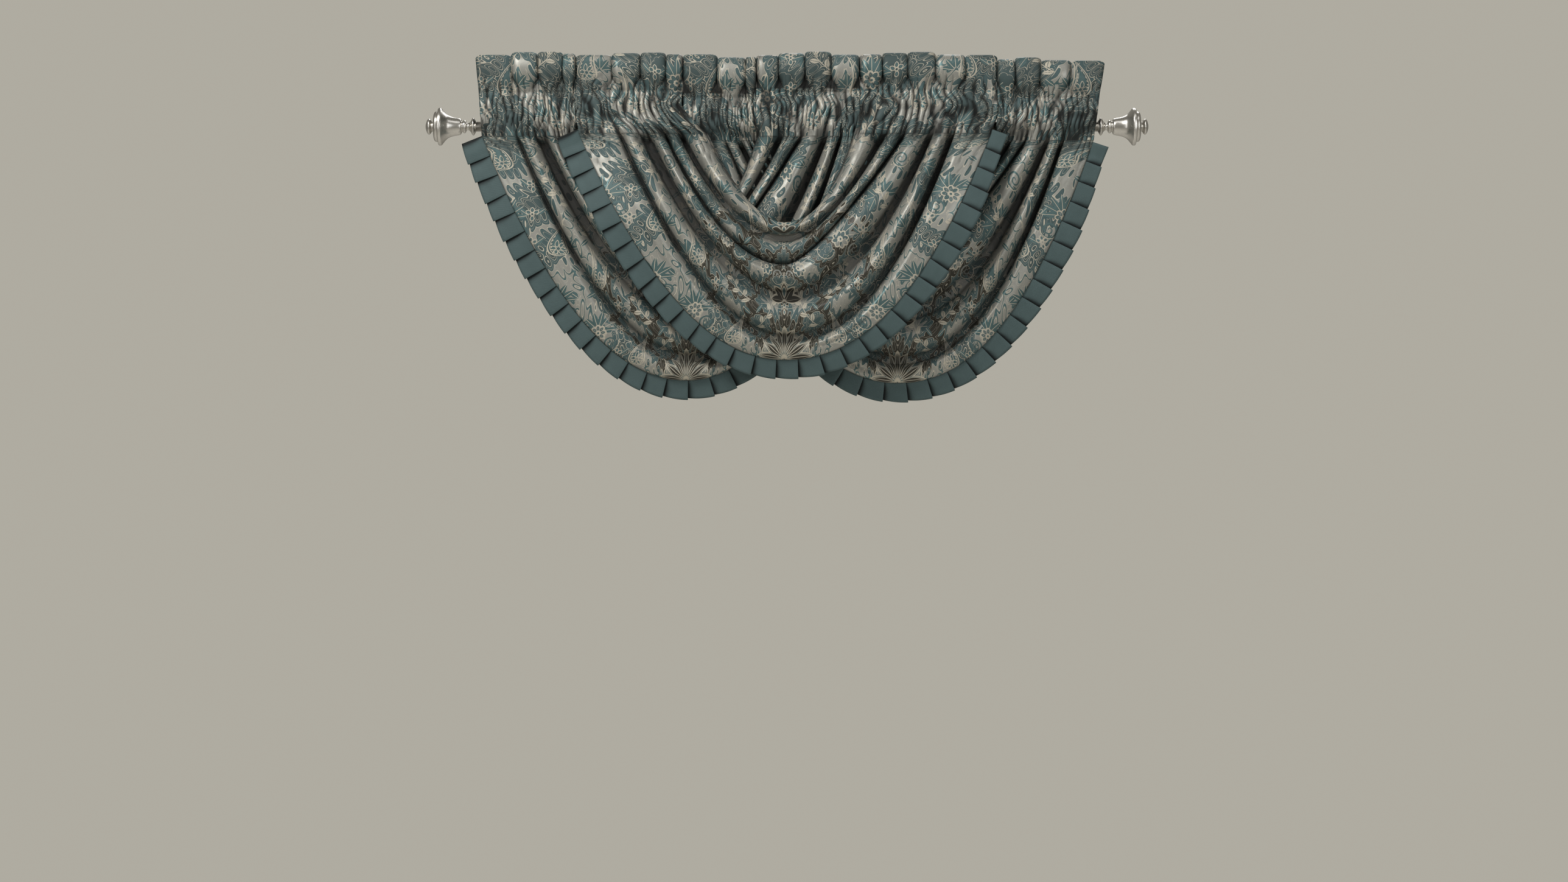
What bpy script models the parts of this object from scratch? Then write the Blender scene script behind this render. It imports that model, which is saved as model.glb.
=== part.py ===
"""Three waterfall valances that share one curtain rod, each a gathered swag with a pleated border.

Units are metres. +X runs along the rod, +Z is up and the room is on the -Y side.
The origin is on the rod's axis, below the middle of the row of headings.
"""

import math

import bpy
import numpy as np

MM = 0.001

# Rod and finials
ROD_RADIUS = 8 * MM
ROD_LEFT, ROD_RIGHT = -508 * MM, 518 * MM
ROD_SIDES = 20
FINIAL_SIDES = 16
TOUCH_GAP = 0.3 * MM
# Turned outline of a finial: (distance out from the rod's end, radius), in millimetres
FINIAL_OUTLINE = [
    (0, 8.6), (2, 11), (5, 14.4), (9, 10.5), (13.5, 6.2), (17, 7.4), (20.5, 11), (23.5, 9),
    (27, 12.4), (42, 15.8), (49, 18.2), (54, 23), (58.5, 31), (61.5, 31), (64.5, 24.5),
    (67, 25), (70.5, 22), (72.5, 8.6), (75.5, 9.4), (78.5, 13.2), (81.5, 10),
]
FINIAL_LENGTH = 83 * MM

# Cloth
CLOTH = 2.0 * MM                     # thickness of the valance cloth
STEPS_PER_ROLL = 4
SWAG_ROWS = 20                       # rows from one heading round to the other

# Rows over a heading, from its hem behind the rod, over the top and down the front. A level is
# 0 at the seam, 1 at the stitching above the rod pocket and 2 at the brim of the ruffle.
# (row, level, depth in mm, share of the ruffle's puff, share of the gathers, share of the flare)
HEADING_ROWS = [
    ("back hem", 0.0, 5.0, 0.0, 0.0, 0.0),
    ("back of rod", 0.2, 12.0, 0.0, 0.6, 0.0),
    ("back pocket", 0.62, 10.0, 0.0, 1.0, 0.0),
    ("back stitching", 1.0, 4.0, 0.0, 0.8, 0.0),
    ("back ruffle", 1.5, 4.5, 1.0, 0.0, 0.0),
    ("back brim", 1.93, 3.0, 0.7, 0.0, 0.0),
    ("brim", 2.0, 0.0, 0.0, 0.0, 0.0),
    ("front brim", 1.93, -3.0, 0.7, 0.0, 0.0),
    ("front ruffle", 1.5, -4.5, 1.0, 0.0, 0.0),
    ("front stitching", 1.0, -4.0, 0.0, 0.8, 0.0),
    ("front pocket", 0.62, -10.0, 0.0, 1.0, 0.0),
    ("front of rod", 0.2, -9.3, 0.0, 0.7, 0.6),
]
PUFF = 11.0 * MM                     # how far a flounce of the ruffle stands out
BRIM_CROWN = 3.0 * MM                # and how much higher its middle is
GATHER = 3.0 * MM                    # depth of the pinched gathers over the pocket
GATHERS_PER_FLOUNCE = 2
FLARE_FORWARD = 11.0 * MM            # the flared neck edge passes in front of the next heading
BACK_HEM_BEHIND = 8 * MM             # from the front cloth at the seam back to the hem of the pocket
BACK_HEM_CLEAR = 3.5 * MM            # that hem stays behind this depth, clear of the rod

# The six creases that bound the five rolls of the middle swag, from its open neck to its border.
# A bow runs from each end at the seam down to the middle; its curve is the exponent of the bow.
# (crease, lowest point in mm below the rod's axis, curve of the left arm, curve of the right arm)
CREASES = [
    ("neck", -162, 1.80, 2.40),
    ("inner", -191, 1.95, 1.65),
    ("second", -232, 1.97, 1.27),
    ("third", -290, 1.70, 2.17),
    ("outer", -356, 1.80, 2.30),
    ("border", -386, 2.08, 2.30),
]
BOW_ROUNDING = 0.12                  # rounds the point at the bottom of the sharper bows
# The rolls between them: (roll, height in mm, share of the width at which the crest lies: left arm,
# bottom, right arm)
ROLLS = [
    ("neck roll", 15, 0.50, 0.30, 0.45),
    ("inner roll", 14, 0.50, 0.50, 0.50),
    ("main roll", 18, 0.38, 0.30, 0.38),
    ("lower roll", 17, 0.62, 0.42, 0.32),
    ("hem band", 13, 0.30, 0.50, 0.28),
]
BAND_EDGE, BAND_EDGE_BELOW = 0.45, 0.18   # height of the hem band at the border, as a share

# Swags: middle, seam, stitching, brim and lowest point, ends of the six creases at the seam on the
# two arms, ends of the two headings at the brim, depth of the seam and of the hanging cloth, and
# the number of flounces of the two headings, in mm from the rod's middle
SWAGS = {
    "centre": dict(
        middle=0, seam=-12, stitching=59, brim=120, lowest=-386,
        left=(-126, -172, -198, -230, -272, -338), right=(116, 167, 201, 248, 283, 341),
        left_brim=(-169, -342), right_brim=(127, 350),
        seam_depth=-15, hang_depth=-58, flounces=(4, 5)),
    "left": dict(
        middle=-161, seam=-16, stitching=56, brim=120, lowest=-419,
        left=(-346, -356, -374, -402, -441, -498), right=(-44, -4, 30, 74, 98, 121),
        left_brim=(-346, -509), right_brim=(-44, 123),
        seam_depth=-4.5, hang_depth=-24, flounces=(4, 4)),
    "right": dict(
        middle=187, seam=-22, stitching=47, brim=112, lowest=-423,
        left=(-48, -54, -62, -74, -98, -160), right=(355, 378, 402, 440, 464, 511),
        left_brim=(-48, -165), right_brim=(354, 529),
        seam_depth=5, hang_depth=6, flounces=(3, 4)),
}
LAYER_SETTLE = 150 * MM              # distance below the seam over which the cloth takes its layer
ROLL_SETTLE = 110 * MM               # and over which its rolls reach their full height
ROLL_AT_SEAM = 0.25                  # share of a roll's height that it has at the seam
ROLL_STEEPEST = 0.5                  # a narrow roll stands forward by this share of its width

# Pleated border
BORDER_WIDTH = 36 * MM
BORDER_WIDTH_BELOW = 30 * MM         # it turns under a little at the bottom of the swag
BORDER_TILT = math.radians(12)
BORDER_CLOTH = 1.4 * MM
PLEAT_PITCH = 35 * MM
PLEAT_RISE = 3.6 * MM                # three layers thick where one pleat laps the next
PLEAT_FLARE = 4.0 * MM               # a pleat's free corner reaches this much further out
PLEAT_LAP = -0.4 * MM
CORNER_APART = 2 * MM                # a corner of the hem closer than this to a pleat's edge is left out
BORDER_BELOW_SEAM = 6 * MM           # the strip starts and ends this far down the hem
BORDER_UNDER = 4.0 * MM              # how far the strip runs on behind the hem it is sewn to
BORDER_BEHIND = (CLOTH + BORDER_CLOTH) / 2 + 0.7 * MM

TAUPE = (0.36, 0.37, 0.34)
TEAL = (0.16, 0.24, 0.25)
STEEL = (0.45, 0.44, 0.42)


def material(name, colour, roughness, metallic=0.0):
    made = bpy.data.materials.new(name)
    made.use_nodes = True
    shader = made.node_tree.nodes["Principled BSDF"]
    shader.inputs["Base Color"].default_value = (*colour, 1.0)
    shader.inputs["Roughness"].default_value = roughness
    shader.inputs["Metallic"].default_value = metallic
    return made


def add_object(name, points, faces, finish):
    mesh = bpy.data.meshes.new(name)
    mesh.from_pydata([tuple(p) for p in points], [], faces)
    mesh.validate()
    mesh.materials.append(finish)
    made = bpy.data.objects.new(name, mesh)
    bpy.context.scene.collection.objects.link(made)
    return made


def smoothstep(x):
    x = np.clip(x, 0.0, 1.0)
    return x * x * (3 - 2 * x)


def bow(share, exponent):
    """Height of a bow at a share of its half width: 0 at its lowest point and 1 at its end."""
    bottom = BOW_ROUNDING ** exponent
    top = (1 + BOW_ROUNDING ** 2) ** (exponent / 2)
    return ((share ** 2 + BOW_ROUNDING ** 2) ** (exponent / 2) - bottom) / (top - bottom)


def half_bow(middle, end, seam, lowest, exponent, rows):
    """Points (x, z) spaced evenly from a bow's lowest point up to its end."""
    share = np.linspace(0, 1, 200)
    x = middle + (end - middle) * share
    z = lowest + (seam - lowest) * bow(share, exponent)
    run = np.concatenate([[0], np.cumsum(np.hypot(np.diff(x), np.diff(z)))])
    at = np.linspace(0, run[-1], rows)
    return np.interp(at, run, x), np.interp(at, run, z)


def roll_profile(roll, share, arm, below):
    """Forward height of a roll across its width, 0 to 1. arm is 2 (left) or 4 (right), the column
    of the table that holds its crest; below is 0 on the arms and 1 at the bottom."""
    crest = ROLLS[roll][arm] + (ROLLS[roll][3] - ROLLS[roll][arm]) * below
    if share < crest:
        side = share / crest
    else:
        side = (1 - share) / (1 - crest)
    height = math.sin(math.pi / 2 * side) ** 0.85
    if roll == len(ROLLS) - 1 and share > crest:
        edge = BAND_EDGE + (BAND_EDGE_BELOW - BAND_EDGE) * below
        height = edge + (1 - edge) * math.cos(math.pi / 2 * (1 - side))
    return height


def swag_bows(swag):
    """Arrays of x and z, a row for each step round the swag and a column for each step from the
    neck to the border."""
    seam = swag["seam"] * MM
    middle_seam = SWAGS["centre"]["seam"]
    deepen = (swag["lowest"] - swag["seam"]) / (CREASES[-1][1] - middle_seam)
    creases = range(len(CREASES))
    columns_x, columns_z = [], []
    for step in range(len(ROLLS) * STEPS_PER_ROLL + 1):
        phase = step / STEPS_PER_ROLL
        depth = np.interp(phase, creases, [crease[1] for crease in CREASES])
        lowest = seam + (depth - middle_seam) * deepen * MM
        arms = []
        for ends, curve in ((swag["left"], 2), (swag["right"], 3)):
            end = np.interp(phase, creases, ends) * MM
            exponent = np.interp(phase, creases, [crease[curve] for crease in CREASES])
            arms.append(half_bow(swag["middle"] * MM, end, seam, lowest, exponent, SWAG_ROWS // 2 + 1))
        (left_x, left_z), (right_x, right_z) = arms
        columns_x.append(np.concatenate([left_x[::-1], right_x[1:]]))
        columns_z.append(np.concatenate([left_z[::-1], right_z[1:]]))
    return np.transpose(columns_x), np.transpose(columns_z)


def swag_rows(swag):
    """Rows of points from the left seam round the bottom to the right seam, each from neck to border."""
    x, z = swag_bows(swag)
    rows = []
    for row in range(SWAG_ROWS + 1):
        below = math.sin(math.pi * row / SWAG_ROWS) ** 4
        arm = 2 if row <= SWAG_ROWS // 2 else 4
        points = []
        for column in range(x.shape[1]):
            roll = min(column // STEPS_PER_ROLL, len(ROLLS) - 1)
            first, last = roll * STEPS_PER_ROLL, (roll + 1) * STEPS_PER_ROLL
            width = math.hypot(x[row, last] - x[row, first], z[row, last] - z[row, first])
            drop = swag["seam"] * MM - z[row, column]
            full = ROLL_AT_SEAM + (1 - ROLL_AT_SEAM) * smoothstep(drop / ROLL_SETTLE)
            share = (column - first) / STEPS_PER_ROLL
            height = min(ROLLS[roll][1] * MM, width * ROLL_STEEPEST)
            height *= roll_profile(roll, share, arm, below) * full
            layer = (swag["hang_depth"] - swag["seam_depth"]) * smoothstep(drop / LAYER_SETTLE)
            points.append((x[row, column], (swag["seam_depth"] + layer) * MM - height, z[row, column]))
        rows.append(points)
    return rows


def heading_rows(swag, ends, brim_ends, flounces):
    """Rows over one heading, from the hem behind the rod over the brim and down to the front."""
    neck_seam, outer_seam = ends[0] * MM, ends[-1] * MM
    neck_brim, outer_brim = brim_ends[0] * MM, brim_ends[1] * MM
    creases = range(len(CREASES))
    rows = []
    for _, level, depth, puff, gathers, flare in HEADING_ROWS:
        z = np.interp(level, [0, 1, 2], [swag["seam"], swag["stitching"], swag["brim"]]) * MM
        neck = neck_brim + (neck_seam - neck_brim) * flare
        outer = outer_seam + (outer_brim - outer_seam) * level / 2
        toward = -1 if depth < 0 else 1
        row = []
        for step in range(len(ROLLS) * STEPS_PER_ROLL + 1):
            on_seam = np.interp(step / STEPS_PER_ROLL, creases, ends) * MM
            across = (on_seam - neck_seam) / (outer_seam - neck_seam)
            out = abs(math.sin(math.pi * flounces * across)) ** 0.6
            pinch = 0.5 - 0.5 * math.cos(2 * math.pi * flounces * GATHERS_PER_FLOUNCE * across)
            y = depth * MM + toward * (puff * PUFF * out + gathers * GATHER * pinch)
            y -= FLARE_FORWARD * min(flare * 2, 1) * (1 - across) ** 2
            crown = BRIM_CROWN * out if level == 2 else 0
            row.append((neck + (outer - neck) * across, y, z + crown))
        rows.append(row)
    # The hem behind the rod stays clear of the rod and of the front cloth at the seam
    back = max(swag["seam_depth"] * MM + BACK_HEM_BEHIND, BACK_HEM_CLEAR)
    rows[0] = [(x, back, z) for x, y, z in rows[0]]
    return rows


def slab(rows, thickness):
    """Closed solid of a sheet given as rows of points: both faces and the rim round them."""
    grid = np.array(rows, float)
    along = np.gradient(grid, axis=0)
    across = np.gradient(grid, axis=1)
    normal = np.cross(across, along)
    normal /= np.linalg.norm(normal, axis=2, keepdims=True)
    front, back = grid + normal * thickness / 2, grid - normal * thickness / 2
    count, wide = grid.shape[:2]
    points = np.concatenate([front.reshape(-1, 3), back.reshape(-1, 3)])
    size = count * wide

    def at(i, j, side=0):
        return i * wide + j + side * size

    faces = []
    for i in range(count - 1):
        for j in range(wide - 1):
            faces.append((at(i, j), at(i, j + 1), at(i + 1, j + 1), at(i + 1, j)))
            faces.append((at(i, j, 1), at(i + 1, j, 1), at(i + 1, j + 1, 1), at(i, j + 1, 1)))
    for i in range(count - 1):
        faces.append((at(i, 0), at(i + 1, 0), at(i + 1, 0, 1), at(i, 0, 1)))
        faces.append((at(i, wide - 1), at(i, wide - 1, 1), at(i + 1, wide - 1, 1), at(i + 1, wide - 1)))
    for j in range(wide - 1):
        faces.append((at(0, j), at(0, j, 1), at(0, j + 1, 1), at(0, j + 1)))
        faces.append((at(count - 1, j), at(count - 1, j + 1), at(count - 1, j + 1, 1), at(count - 1, j, 1)))
    return points, faces


def make_valance(name, swag, finish):
    """One panel: its two gathered headings and the swag between them, one sheet of cloth."""
    middle_rows = swag_rows(swag)
    left = heading_rows(swag, swag["left"], swag["left_brim"], swag["flounces"][0])
    right = heading_rows(swag, swag["right"], swag["right_brim"], swag["flounces"][1])
    points, faces = slab(left + middle_rows + right[::-1], CLOTH)
    add_object(f"valance_{name}", points, faces, finish)
    return [row[-1] for row in middle_rows]


def make_border(name, hem, finish):
    """The pleated strip along a swag's hem: knife pleats, each lapping the next one down the line."""
    hem = np.array(hem, float)
    run = np.concatenate([[0], np.cumsum(np.linalg.norm(np.diff(hem, axis=0), axis=1))])
    heading = np.gradient(hem, axis=0)
    heading[:, 1] = 0
    pleats = round((run[-1] - 2 * BORDER_BELOW_SEAM) / PLEAT_PITCH)
    pitch = (run[-1] - 2 * BORDER_BELOW_SEAM) / pleats
    points = []
    for pleat in range(pleats):
        start = BORDER_BELOW_SEAM + pleat * pitch
        end = start + pitch
        corners = [at for at in run if start + CORNER_APART < at < end - CORNER_APART]
        for at in [start] + corners + [end]:
            on_hem = np.array([np.interp(at, run, hem[:, axis]) for axis in range(3)])
            ahead = np.array([np.interp(at, run, heading[:, axis]) for axis in range(3)])
            ahead /= np.linalg.norm(ahead)
            phase = (at - start) / pitch
            points += border_section(on_hem, ahead, phase, at / run[-1])
    faces = []
    for i in range(len(points) // 4 - 1):
        a, b = 4 * i, 4 * (i + 1)
        faces += [(a, a + 2, b + 2, b), (a + 1, b + 1, b + 3, a + 3),
                  (a, b, b + 1, a + 1), (a + 2, a + 3, b + 3, b + 2)]
    last = len(points) - 4
    faces += [(0, 1, 3, 2), (last, last + 2, last + 3, last + 1)]
    return add_object(f"border_{name}", points, faces, finish)


def border_section(on_hem, ahead, phase, along):
    """Four points across the strip. phase runs 0 to 1 over a pleat, which stands out at its end."""
    below = math.sin(math.pi * along) ** 4
    outward = np.array([ahead[2], 0, -ahead[0]])
    back = np.array([0, 1, 0])
    width = BORDER_WIDTH + (BORDER_WIDTH_BELOW - BORDER_WIDTH) * below + PLEAT_FLARE * phase
    way = outward * math.cos(BORDER_TILT * below) + back * math.sin(BORDER_TILT * below)
    base = on_hem + back * BORDER_BEHIND + ahead * PLEAT_LAP * phase
    inner, outer = base - outward * BORDER_UNDER, base + way * width
    half = BORDER_CLOTH / 2
    return [inner - back * half, inner + back * half,
            outer - back * (half + PLEAT_RISE * phase), outer + back * half]


def make_rod(finish):
    rod = add_object("rod", *turned([(0, ROD_RADIUS), (ROD_RIGHT - ROD_LEFT, ROD_RADIUS)], ROD_SIDES), finish)
    rod.location.x = ROD_LEFT
    return rod


def turned(outline, sides):
    """Closed solid of revolution about the X axis, from an outline of (x, radius)."""
    points, faces = [], []
    for x, radius in outline:
        for side in range(sides):
            turn = 2 * math.pi * (side + 0.5) / sides
            points.append((x, radius * math.cos(turn), radius * math.sin(turn)))
    for ring in range(len(outline) - 1):
        for side in range(sides):
            after = (side + 1) % sides
            a, b = ring * sides, (ring + 1) * sides
            faces.append((a + side, a + after, b + after, b + side))
    faces.append(tuple(range(sides))[::-1])
    faces.append(tuple(range((len(outline) - 1) * sides, len(outline) * sides)))
    return points, faces


def make_finial(name, end, direction, finish):
    outline = [((x * MM), radius * MM) for x, radius in FINIAL_OUTLINE] + [(FINIAL_LENGTH, 4 * MM)]
    points, faces = turned(outline, FINIAL_SIDES)
    finial = add_object(name, points, faces, finish)
    finial.location.x = end + direction * TOUCH_GAP
    if direction < 0:
        finial.rotation_euler.z = math.pi
    finial.data.shade_smooth()
    return finial


def main():
    for old in list(bpy.data.objects):
        bpy.data.objects.remove(old)
    cloth = material("jacquard", TAUPE, 0.45)
    plain = material("border_cloth", TEAL, 0.7)
    steel = material("brushed_steel", STEEL, 0.3, 1.0)
    make_rod(steel)
    make_finial("finial_left", ROD_LEFT, -1, steel)
    make_finial("finial_right", ROD_RIGHT, 1, steel)
    for name, swag in SWAGS.items():
        hem = make_valance(name, swag, cloth)
        make_border(name, hem, plain)


main()
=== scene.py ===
"""Scene of a waterfall valance set on its curtain rod: three swags of woven jacquard, each with a
pleated border.

Units are metres. +X runs along the rod, +Z is up and the room is on the -Y side. The origin is on
the rod's axis, below the middle of the row of headings.
"""

import math
from functools import reduce

import bpy
import numpy as np
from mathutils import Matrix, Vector

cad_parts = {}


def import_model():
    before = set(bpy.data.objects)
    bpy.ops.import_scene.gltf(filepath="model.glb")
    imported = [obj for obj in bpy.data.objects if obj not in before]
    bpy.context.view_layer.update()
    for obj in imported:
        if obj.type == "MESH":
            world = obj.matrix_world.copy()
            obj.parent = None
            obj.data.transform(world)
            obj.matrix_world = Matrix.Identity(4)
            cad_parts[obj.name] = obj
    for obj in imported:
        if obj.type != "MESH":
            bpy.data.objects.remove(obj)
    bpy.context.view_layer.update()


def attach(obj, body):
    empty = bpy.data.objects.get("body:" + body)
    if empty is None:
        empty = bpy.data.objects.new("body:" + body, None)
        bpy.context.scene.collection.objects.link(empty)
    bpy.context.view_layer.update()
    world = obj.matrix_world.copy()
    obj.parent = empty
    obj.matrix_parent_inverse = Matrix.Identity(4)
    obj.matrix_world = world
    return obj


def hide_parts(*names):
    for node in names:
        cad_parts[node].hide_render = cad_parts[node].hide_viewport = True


MM = 0.001

# Rod and finials
ROD_RADIUS = 8 * MM
ROD_LEFT, ROD_RIGHT = -508 * MM, 518 * MM
ROD_SIDES = 64
FINIAL_SIDES = 96
FINIAL_STEPS = 4  # rings between two entries of the finial's outline
TOUCH_GAP = 0.3 * MM
# Turned outline of a finial: (distance out from the rod's end, radius), in millimetres
FINIAL_OUTLINE = [
    (0, 8.6), (1.5, 11), (4, 14.6), (6.5, 13), (9, 8.6), (12.5, 5.8), (15.5, 6.6), (17, 9.6),
    (19.5, 11), (22, 9.2), (23.5, 9.4), (25, 12.6), (28, 14), (34, 15), (40, 16.4), (46, 19),
    (50, 22.4), (54, 27), (57, 30.6), (60, 30.9), (62, 30), (63.2, 25.2), (64.6, 25), (67, 24.6),
    (69.5, 21), (71, 9.2), (73, 8.4), (75, 11.4), (78, 13.2), (81, 10), (83, 4),
]

# Cloth
CLOTH = 1.2 * MM
COLUMNS = 141  # lines of the cloth from the neck to the border
SWAG_ROWS = 190  # rows from one heading round to the other
FINE_CURVE = 600  # points of a bow before it is spaced evenly

# Rows over a heading, from its hem behind the rod, over the top and down the front. A level is
# 0 at the seam, 1 at the stitching above the rod pocket and 2 at the brim of the ruffle.
# (row, level, depth in mm, share of the ruffle's puff, share of the gathers, share of the flare,
# number of finer rows up to the next one)
HEADING_ROWS = [
    ("back hem", 0.0, 8.0, 0.0, 0.3, 0.0, 2),
    ("back of rod", 0.2, 12.0, 0.0, 0.5, 0.0, 3),
    ("back pocket", 0.62, 10.0, 0.0, 0.7, 0.0, 4),
    ("back stitching", 1.0, 3.0, 0.0, 0.7, 0.0, 5),
    ("back ruffle", 1.5, 2.2, 1.0, 0.1, 0.0, 3),
    ("back of brim", 1.82, 2.0, 0.8, 0.0, 0.0, 2),
    ("back brim", 1.95, 1.4, 0.3, 0.0, 0.0, 2),
    ("brim", 2.0, 0.0, 0.0, 0.0, 0.0, 2),
    ("front brim", 1.95, -1.4, 0.3, 0.0, 0.0, 3),
    ("front of brim", 1.82, -2.0, 0.8, 0.0, 0.0, 7),
    ("front ruffle", 1.5, -2.2, 1.0, 0.1, 0.0, 12),
    ("front stitching", 1.0, -3.0, 0.0, 0.7, 0.0, 11),
    ("front pocket", 0.62, -9.0, 0.0, 1.0, 0.0, 10),
    ("front of rod", 0.2, -9.3, 0.0, 0.9, 0.6, 6),
    ("seam", 0.0, -9.0, 0.0, 0.6, 1.0, 0),
]
BRIM_ROW = 7  # place of the brim in this table
PUFF = 12.5 * MM  # how far a flounce of the ruffle stands out
FLAT_PUFF = 0.42  # share of it on the flat flounce at a heading's free end
BRIM_NOTCH = 5.0 * MM  # depth of the notches between the flounces at the brim
FLOUNCE_BULGE = 3.4 * MM  # a flounce swells sideways over the gap beside it
FLOUNCE_TAPER = 0.52  # share of its width that a flounce keeps at the stitching
FLOUNCE_SQUARE = 4.2  # the higher, the squarer the front of a flounce
FLOUNCE_ROUND = 0.62  # the lower, the steeper its sides
GATHER = 9.0 * MM  # depth of the pinched gathers over the pocket
GATHERS = 9  # wide gathers across a heading
FINE_GATHERS = 19  # narrow gathers between them
GATHER_FADE = 42 * MM  # they fade out over this distance down the swag
PAINTED_SHADE_BELOW = 0.60  # gathers lower than this share of their ridges get painted shade
POCKET_WIDENS = 0.45  # level at which the pocket has widened to meet the next heading
FLARE_FORWARD = 11.0 * MM  # the flared neck edge passes in front of the next heading
STITCH_GROOVE = 1.2 * MM  # depth of the groove along the stitching
STITCH_REACH = 0.035  # half the width of this groove, as a level
TUCK = 1.5 * MM  # height of the short tucks at the foot of a flounce
TUCK_REACH = 0.16  # the tucks end about this far above the stitching, as a level
RUN_IN = 0.45  # below this level the heading runs into the swag
BACK_HEM_BEHIND = 8 * MM  # from the front cloth at the seam back to the hem behind
BACK_HEM_CLEAR = 3.5 * MM  # that hem stays behind this depth, clear of the rod
PATTERN_FOOT = -470 * MM  # height of the pattern's foot, which lies at a panel's hem
POCKET_HEIGHT = 71 * MM  # from the seam up to the stitching

# The six creases that bound the five rolls of the middle swag, from its open neck to its border.
# (crease, lowest point in mm below the rod's axis, curve of the left arm, curve of the right arm)
CREASES = [
    ("neck", -162, 1.80, 2.40),
    ("inner", -191, 1.95, 1.65),
    ("second", -232, 1.97, 1.27),
    ("third", -290, 1.70, 2.17),
    ("outer", -356, 1.80, 2.30),
    ("border", -386, 2.08, 2.30),
]
BOW_ROUNDING = 0.12  # rounds the point at the bottom of the sharper bows
# (roll, height in mm, share of the width at which the crest lies: left arm, bottom, right arm)
ROLLS = [
    ("neck roll", 15, 0.50, 0.30, 0.45),
    ("inner roll", 14, 0.50, 0.50, 0.50),
    ("main roll", 18, 0.38, 0.30, 0.38),
    ("lower roll", 17, 0.62, 0.42, 0.32),
    ("hem band", 13, 0.30, 0.50, 0.28),
]
# Each pair below is a value on the arms of the swag and the same at its bottom
BAND_EDGE, BAND_EDGE_BELOW = 0.45, 0.18  # height of the hem band's edge, as a share
TUBE_REACH, TUBE_REACH_BELOW = 0.42, 0.44  # half the width of a roll's tube, as a share
TUBE_ROUND = 0.8  # the lower, the fuller a roll's tube
LAYER_SETTLE = 150 * MM  # the layers part over this distance below the seam
ROLL_SETTLE = 45 * MM  # the rolls rise to their height over this distance
ROLL_AT_SEAM = 0.7  # share of that height at the seam
ROLL_STEEPEST = 0.5  # most height of a roll, as a share of its width
VALLEY_DEPTH = 13.0 * MM  # the cloth between two rolls lies this much further back
VALLEY_SHALLOWER = 0.55  # less by this share at the bottom of the swag
VALLEY_SETTLE = 12 * MM  # and over this distance below the seam
ROLL_UNEVEN = 3.2 * MM  # slow swelling and sinking of the rolls along their length
GATHERS_IN_SWAG = 0.6  # share of the pocket's gathers that the top of the swag keeps
FINE_FOLD = 1.5 * MM  # faint folds that run along the rolls
NOISE_GRID = 64  # the uneven values repeat after this many swells
# Painted shade in hollows: (lines of cloth on each side, depth below them painted fully dark)
HOLLOWS = ((3, 0.9 * MM), (9, 3.2 * MM))

# Swags, in mm: middle, seam, stitching, lowest point, ends of the six creases at the seam on the
# two arms, ends of the two headings at the brim, depth of the seam and of the hanging cloth, the
# edges of the flounces of the two headings and the height of each flounce's top
SWAGS = {
    "centre": dict(
        middle=0, seam=-12, stitching=59, lowest=-386,
        left=(-126, -172, -198, -230, -272, -338), right=(116, 167, 201, 248, 283, 341),
        seam_depth=-15, hang_depth=-58, border_rise=12,
        left_flounces=(-167.3, -195, -237, -284, -343.8), left_tops=(119, 122, 121, 118),
        right_flounces=(125.2, 162, 204, 250, 299, 351.8), right_tops=(119, 121.5, 123, 118.5, 118),
        seed=3),
    "left": dict(
        middle=-161, seam=-16, stitching=56, lowest=-419,
        left=(-340, -352, -372, -402, -441, -498), right=(-44, -4, 30, 74, 98, 121),
        seam_depth=-4.5, hang_depth=-24, border_rise=6,
        left_flounces=(-344.3, -365, -407, -450, -509), left_tops=(120, 123, 122.5, 118),
        right_flounces=(-45.8, -9, 34, 78, 124.7), right_tops=(117.5, 121, 123.5, 118.5),
        seed=11),
    "right": dict(
        middle=187, seam=-22, stitching=47, lowest=-423,
        left=(-41, -50, -60, -74, -98, -160), right=(345, 374, 401, 440, 464, 511),
        seam_depth=5, hang_depth=6, border_rise=2,
        left_flounces=(-46.3, -63, -110, -166.8), left_tops=(114.5, 114, 119),
        right_flounces=(352.3, 381, 424, 474, 529), right_tops=(111, 114, 109.5, 108.5),
        seed=23),
}
for swag_name, swag_facts in SWAGS.items():
    swag_facts["name"] = swag_name
FREE_ENDS = [("left", "left"), ("right", "right")]
FLAT_ENDS = FREE_ENDS + [("centre", "left"), ("centre", "right")]

# Pleated border
BORDER_WIDTH, BORDER_WIDTH_BELOW = 36 * MM, 30 * MM
BORDER_NARROWS = 190 * MM  # it narrows over this distance to its right end
BORDER_NARROWEST = 0.68  # share of its width there
BORDER_TILT = math.radians(12)  # its lower part leans towards the window
BORDER_CLOTH = 0.9 * MM
PLEAT_PITCH = 35 * MM  # length of hem from pleat to pleat
PLEAT_RISE = 5.4 * MM  # height of a pleat's folded edge above the next pleat
PLEAT_AT_HEM = 0.22  # share of this height at the hem of the swag
PLEAT_FLARE = 4.6 * MM  # a fold's free corner reaches this much further out
PLEAT_LEAN = 2.2 * MM  # a fold's outer end lies up to this far along the hem
PLEAT_SHADE = 5.5 * MM  # the painted shadow beside a fold reaches about this far at the edge
PLEAT_UNDER = 11 * MM  # cloth folded back below each pleat
PLEAT_LOW = 0.25  # height of a pleat's low end, as a share of its fold
PLEAT_LAP = 0.4 * MM  # a folded edge passes the next pleat's start by this
FOLD_ROUND = 0.5 * MM  # radius of a folded edge
FOLD_BACK = 2 * MM  # cloth in the turn from the folded part to the next face
BORDER_BELOW_SEAM = 6 * MM  # the strip starts this far down the hem
BORDER_UNDER = 4.0 * MM  # it reaches this far under the cloth
BORDER_BEHIND = 2.4 * MM  # and lies this far behind it
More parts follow.
